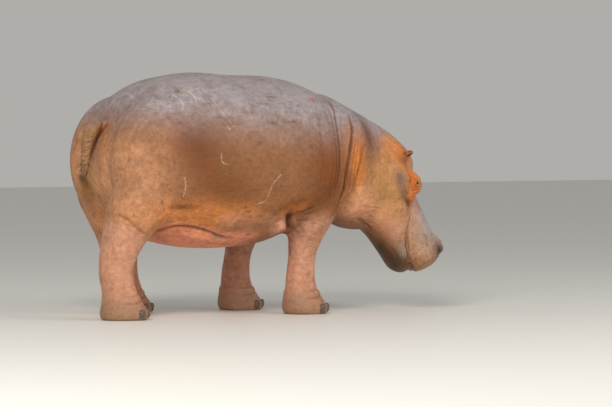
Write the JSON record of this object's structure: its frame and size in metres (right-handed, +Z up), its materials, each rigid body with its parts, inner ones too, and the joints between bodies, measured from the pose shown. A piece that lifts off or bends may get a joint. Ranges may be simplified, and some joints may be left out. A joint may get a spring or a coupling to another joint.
{
  "type": "hippopotamus",
  "caption": "Life-size standing hippopotamus, head lowered as if to drink, in mid step; a still museum-style model with skin, eyes and toe nails.",
  "frame": {"origin": "on the floor, under the middle of the animal's bounding box", "axes": "+X the way the body faces (the head end), +Y to the animal's left, +Z up"},
  "size_m": [2.3416, 1.1388, 1.4195],
  "materials": {
    "skin": "bare wrinkled hide, grey-lavender on the back, brown to salmon pink below, satin as if damp",
    "eye": "dark brown eye with a clear wet gloss",
    "nail": "dull horn of the toe nails, and the few bristles of muzzle, ears and tail"
  },
  "bodies": {
    "root": {"trunk": "skin", "neck": "skin", "head": "skin", "lower_jaw": "skin", "leg_hind_left": "skin", "foot_hind_left": "skin", "nail_hind_left_1": "nail", "nail_hind_left_2": "nail", "nail_hind_left_3": "nail", "nail_hind_left_4": "nail", "leg_fore_left": "skin", "foot_fore_left": "skin", "nail_fore_left_1": "nail", "nail_fore_left_2": "nail", "nail_fore_left_3": "nail", "nail_fore_left_4": "nail", "leg_hind_right": "skin", "foot_hind_right": "skin", "nail_hind_right_1": "nail", "nail_hind_right_2": "nail", "nail_hind_right_3": "nail", "nail_hind_right_4": "nail", "leg_fore_right": "skin", "foot_fore_right": "skin", "nail_fore_right_1": "nail", "nail_fore_right_2": "nail", "nail_fore_right_3": "nail", "nail_fore_right_4": "nail", "ear_left": "skin", "eye_left": "eye", "ear_right": "skin", "eye_right": "eye", "tail": "skin"}
  },
  "joints": []
}
